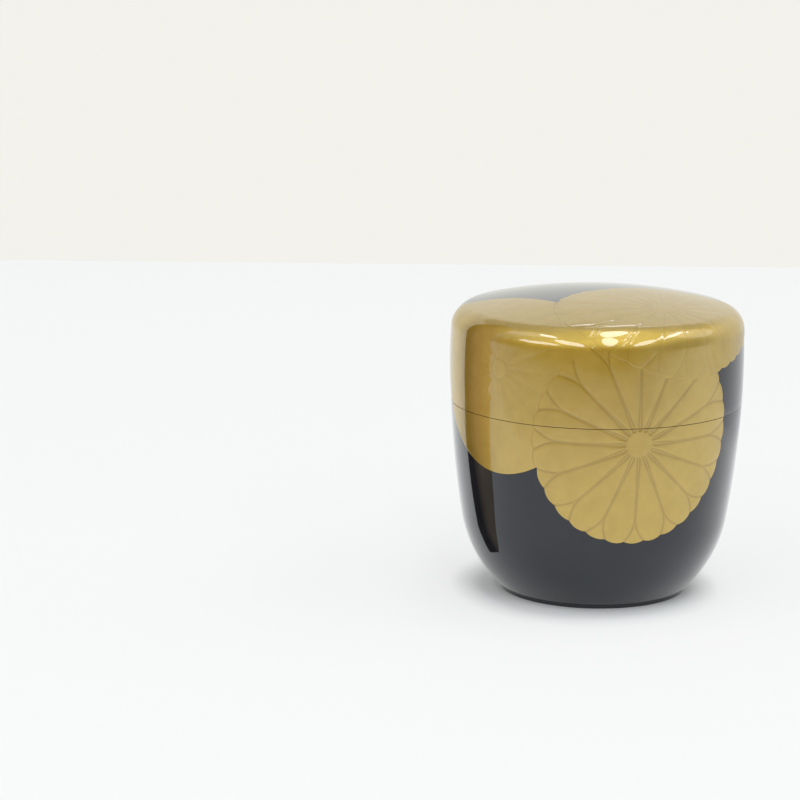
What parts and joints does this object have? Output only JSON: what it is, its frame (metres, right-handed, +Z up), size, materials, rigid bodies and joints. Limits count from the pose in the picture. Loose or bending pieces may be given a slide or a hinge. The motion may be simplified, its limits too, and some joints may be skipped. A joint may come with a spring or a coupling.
{
  "type": "natsume tea caddy",
  "caption": "Lidded black lacquer natsume for powdered tea, with a domed slip-over lid and raised gold chrysanthemums over its front and top.",
  "frame": {"origin": "on the turning axis, at the bottom of the foot ring, which stands on the table", "axes": "+Z up the turning axis and the way the lid lifts, -Y to the front with the large flower, +X to the right seen from the front"},
  "size_m": [0.0666, 0.0664, 0.0686],
  "materials": {
    "lacquer": "turned wood under polished black lacquer",
    "gold": "gold powder laid in lacquer, satin under a clear coat"
  },
  "bodies": {
    "body": {"caddy_body": "lacquer", "front_flower_lower": "gold", "left_flower_lower": "gold"},
    "lid": {"caddy_lid": "lacquer", "front_flower_upper": "gold", "left_flower_upper": "gold", "top_flower": "gold"}
  },
  "joints": [
    {"name": "lid_lift", "type": "slide", "parent": "body", "child": "lid", "axis": [0, 0, 1], "range_m": [0, 0.04]}
  ]
}
